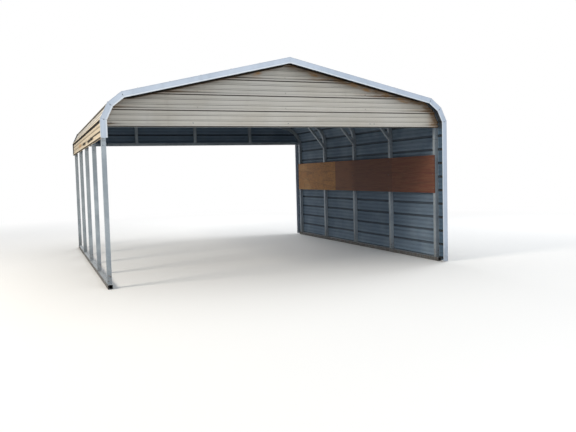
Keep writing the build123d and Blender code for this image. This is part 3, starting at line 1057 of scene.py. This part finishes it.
def knee_clips(side):
    """Under each knee brace, at its foot and at its head."""
    low_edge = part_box("knee_braces_right")[0].z
    way = Vector((-side * cos(BRACE_ANGLE), 0, sin(BRACE_ANGLE)))
    downhill = Vector((side * cos(SLOPE), 0, -sin(SLOPE)))
    rise = underside_height(INNER_FACE) - low_edge
    length = rise / (sin(BRACE_ANGLE) - cos(BRACE_ANGLE) * tan(SLOPE))
    for y in POST_PLACES[1:-1]:
        foot = Vector((side * INNER_FACE, y, low_edge))
        yield foot, Vector(DOWN), way
        yield foot + way * length, -way, -downhill


def tie_clips():
    """Under both ends of each peak tie."""
    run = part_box("peak_braces")[1].x
    for y in POST_PLACES[1:-1]:
        for side in (-1, 1):
            corner = Vector((side * run, y, underside_height(run)))
            yield corner, Vector((side * cos(SLOPE), 0, -sin(SLOPE))), Vector((-side, 0, 0))


def stud_clips(name):
    """Beside each upright of a gable, on the header and under the bow."""
    y = POST_PLACES[0 if name == "front" else -1]
    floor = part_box(f"header_{name}")[1].z
    for n in (-1, 0, 1):
        for side in (-1, 1):
            x = n * STUD_SPACING + side * TUBE / 2
            yield Vector((x, y, floor)), Vector(UP), Vector((side, 0, 0))
            if n == side:
                head = Vector((x, y, underside_height(x)))
                yield head, Vector(DOWN), Vector((side * cos(SLOPE), 0, -sin(SLOPE)))


def dress_fasteners(zinc):
    """Make every piece of screws, and the clips with the screws that hold them."""
    rubber = rubber_finish()
    screw = [screw_finish("screw_zinc", ZINC_DARK, 0.8), rubber]
    painted = [screw_finish("screw_paint", CREAM, 0.0), rubber]
    rows = range(1, int((RIDGE_HEIGHT - GABLE_RIB) / RIB_PITCH))
    for name, side in SIDES:
        screw_piece(f"roof_screws_{name}", roof_screws(side, name) + ridge_screws(side), painted)
    screw_piece("wall_screws", wall_screws(), painted)
    for name, end in ENDS:
        screw_piece(f"gable_screws_{name}", gable_screws(end, name, rows, GABLE_COLUMNS), painted)
        screw_piece(f"header_screws_{name}", gable_screws(end, name, [0], HEADER_COLUMNS), screw)
        for side_name, side in SIDES:
            screw_piece(f"trim_screws_{name}_{side_name}",
                        trim_screws(side, end, side_name, name), screw)
    screw_piece("board_screws", board_screws(), screw)

    clips = bmesh.new()
    seats = []
    knees = [*knee_clips(-1), *knee_clips(1)]
    for clip in [*knees, *tie_clips(), *stud_clips("front"), *stud_clips("rear")]:
        seats += add_clip(clips, *clip)
    bmesh.ops.recalc_face_normals(clips, faces=clips.faces)
    finished_piece("frame_clips", clips, [zinc])
    screw_piece("frame_screws", frame_screws() + seats, screw)


# Camera, floor and light


def add_camera():
    """The photograph's view: yaw turns to the right, pitch looks down, roll leans the picture."""
    forward = Vector((sin(CAMERA_YAW) * cos(CAMERA_PITCH),
                      cos(CAMERA_YAW) * cos(CAMERA_PITCH),
                      -sin(CAMERA_PITCH)))
    level_right = Vector((cos(CAMERA_YAW), -sin(CAMERA_YAW), 0.0))
    level_down = forward.cross(level_right)
    right = level_right * cos(CAMERA_ROLL) + level_down * sin(CAMERA_ROLL)
    down = level_down * cos(CAMERA_ROLL) - level_right * sin(CAMERA_ROLL)
    turn = Matrix((right, -down, -forward)).transposed()
    data = bpy.data.cameras.new("camera")
    data.sensor_width = SENSOR_WIDTH
    data.lens = CAMERA_FOCUS_PX / PHOTO_WIDTH * SENSOR_WIDTH
    camera = bpy.data.objects.new("camera", data)
    camera.matrix_world = Matrix.Translation(CAMERA_PLACE) @ turn.to_4x4()
    bpy.context.scene.collection.objects.link(camera)
    bpy.context.scene.camera = camera


def seen_rays(tree):
    """1 for the rays that see the plain white background, which are camera rays and mirrors."""
    path = tree.nodes.new("ShaderNodeLightPath")
    total = path.outputs["Is Camera Ray"]
    for name in ("Is Glossy Ray", "Is Transmission Ray"):
        made = tree.nodes.new("ShaderNodeMath")
        made.operation = "MAXIMUM"
        tree.links.new(total, made.inputs[0])
        tree.links.new(path.outputs[name], made.inputs[1])
        total = made.outputs[0]
    return total


def add_floor():
    """A plain pale floor that fades to white far from the carport."""
    shader = Shader("floor")
    seen = seen_rays(shader.tree)
    shader.finish(shader.blend(seen, FLOOR_LIT, FLOOR_SEEN), 0.85, shader.uneven(90.0, 0.0002))
    far = shader.node("ShaderNodeVectorMath", operation="LENGTH")
    shader.put(shader.place, far.inputs[0])
    white = shader.node("ShaderNodeEmission")
    shader.put((1, 1, 1), white.inputs["Color"])
    mixed = shader.node("ShaderNodeMixShader")
    fade = shader.times(shader.step(far.outputs["Value"], *FLOOR_FADE), seen)
    for value, socket in zip((fade, shader.surface.outputs[0], white.outputs[0]), mixed.inputs):
        shader.put(value, socket)
    shader.put(mixed.outputs[0], shader.tree.nodes["Material Output"].inputs["Surface"])
    mesh = bpy.data.meshes.new("floor")
    signs = ((-1, -1), (1, -1), (1, 1), (-1, 1))
    corners = [(x * FLOOR_REACH, y * FLOOR_REACH, 0) for x, y in signs]
    mesh.from_pydata(corners, [], [(0, 1, 2, 3)])
    mesh.materials.append(shader.material)
    floor = bpy.data.objects.new("floor", mesh)
    bpy.context.scene.collection.objects.link(floor)


def add_world():
    """White to the camera, and a soft sky to everything else."""
    world = bpy.data.worlds.new("world")
    bpy.context.scene.world = world
    world.use_nodes = True
    tree = world.node_tree
    sky = tree.nodes["Background"]
    sky.inputs["Color"].default_value = (*SKY, 1.0)
    sky.inputs["Strength"].default_value = SKY_STRENGTH
    white = tree.nodes.new("ShaderNodeBackground")
    white.inputs["Color"].default_value = (1, 1, 1, 1)
    mixed = tree.nodes.new("ShaderNodeMixShader")
    tree.links.new(seen_rays(tree), mixed.inputs[0])
    tree.links.new(sky.outputs[0], mixed.inputs[1])
    tree.links.new(white.outputs[0], mixed.inputs[2])
    tree.links.new(mixed.outputs[0], tree.nodes["World Output"].inputs["Surface"])


def add_lamp(name, place, width, power, colour):
    """A square soft box."""
    data = bpy.data.lights.new(name, "AREA")
    data.shape = "SQUARE"
    data.size = width
    data.energy = power
    data.color = colour
    lamp = bpy.data.objects.new(name, data)
    lamp.location = place
    lamp.rotation_euler = (LAMP_TARGET - Vector(place)).to_track_quat("-Z", "Y").to_euler()
    bpy.context.scene.collection.objects.link(lamp)


zinc = zinc_finish()
dress_sheets()
dress_frame(zinc)
dress_fasteners(zinc)
add_camera()
add_floor()
add_world()
for lamp in LAMPS:
    add_lamp(*lamp)
bpy.context.scene.view_settings.view_transform = "Standard"
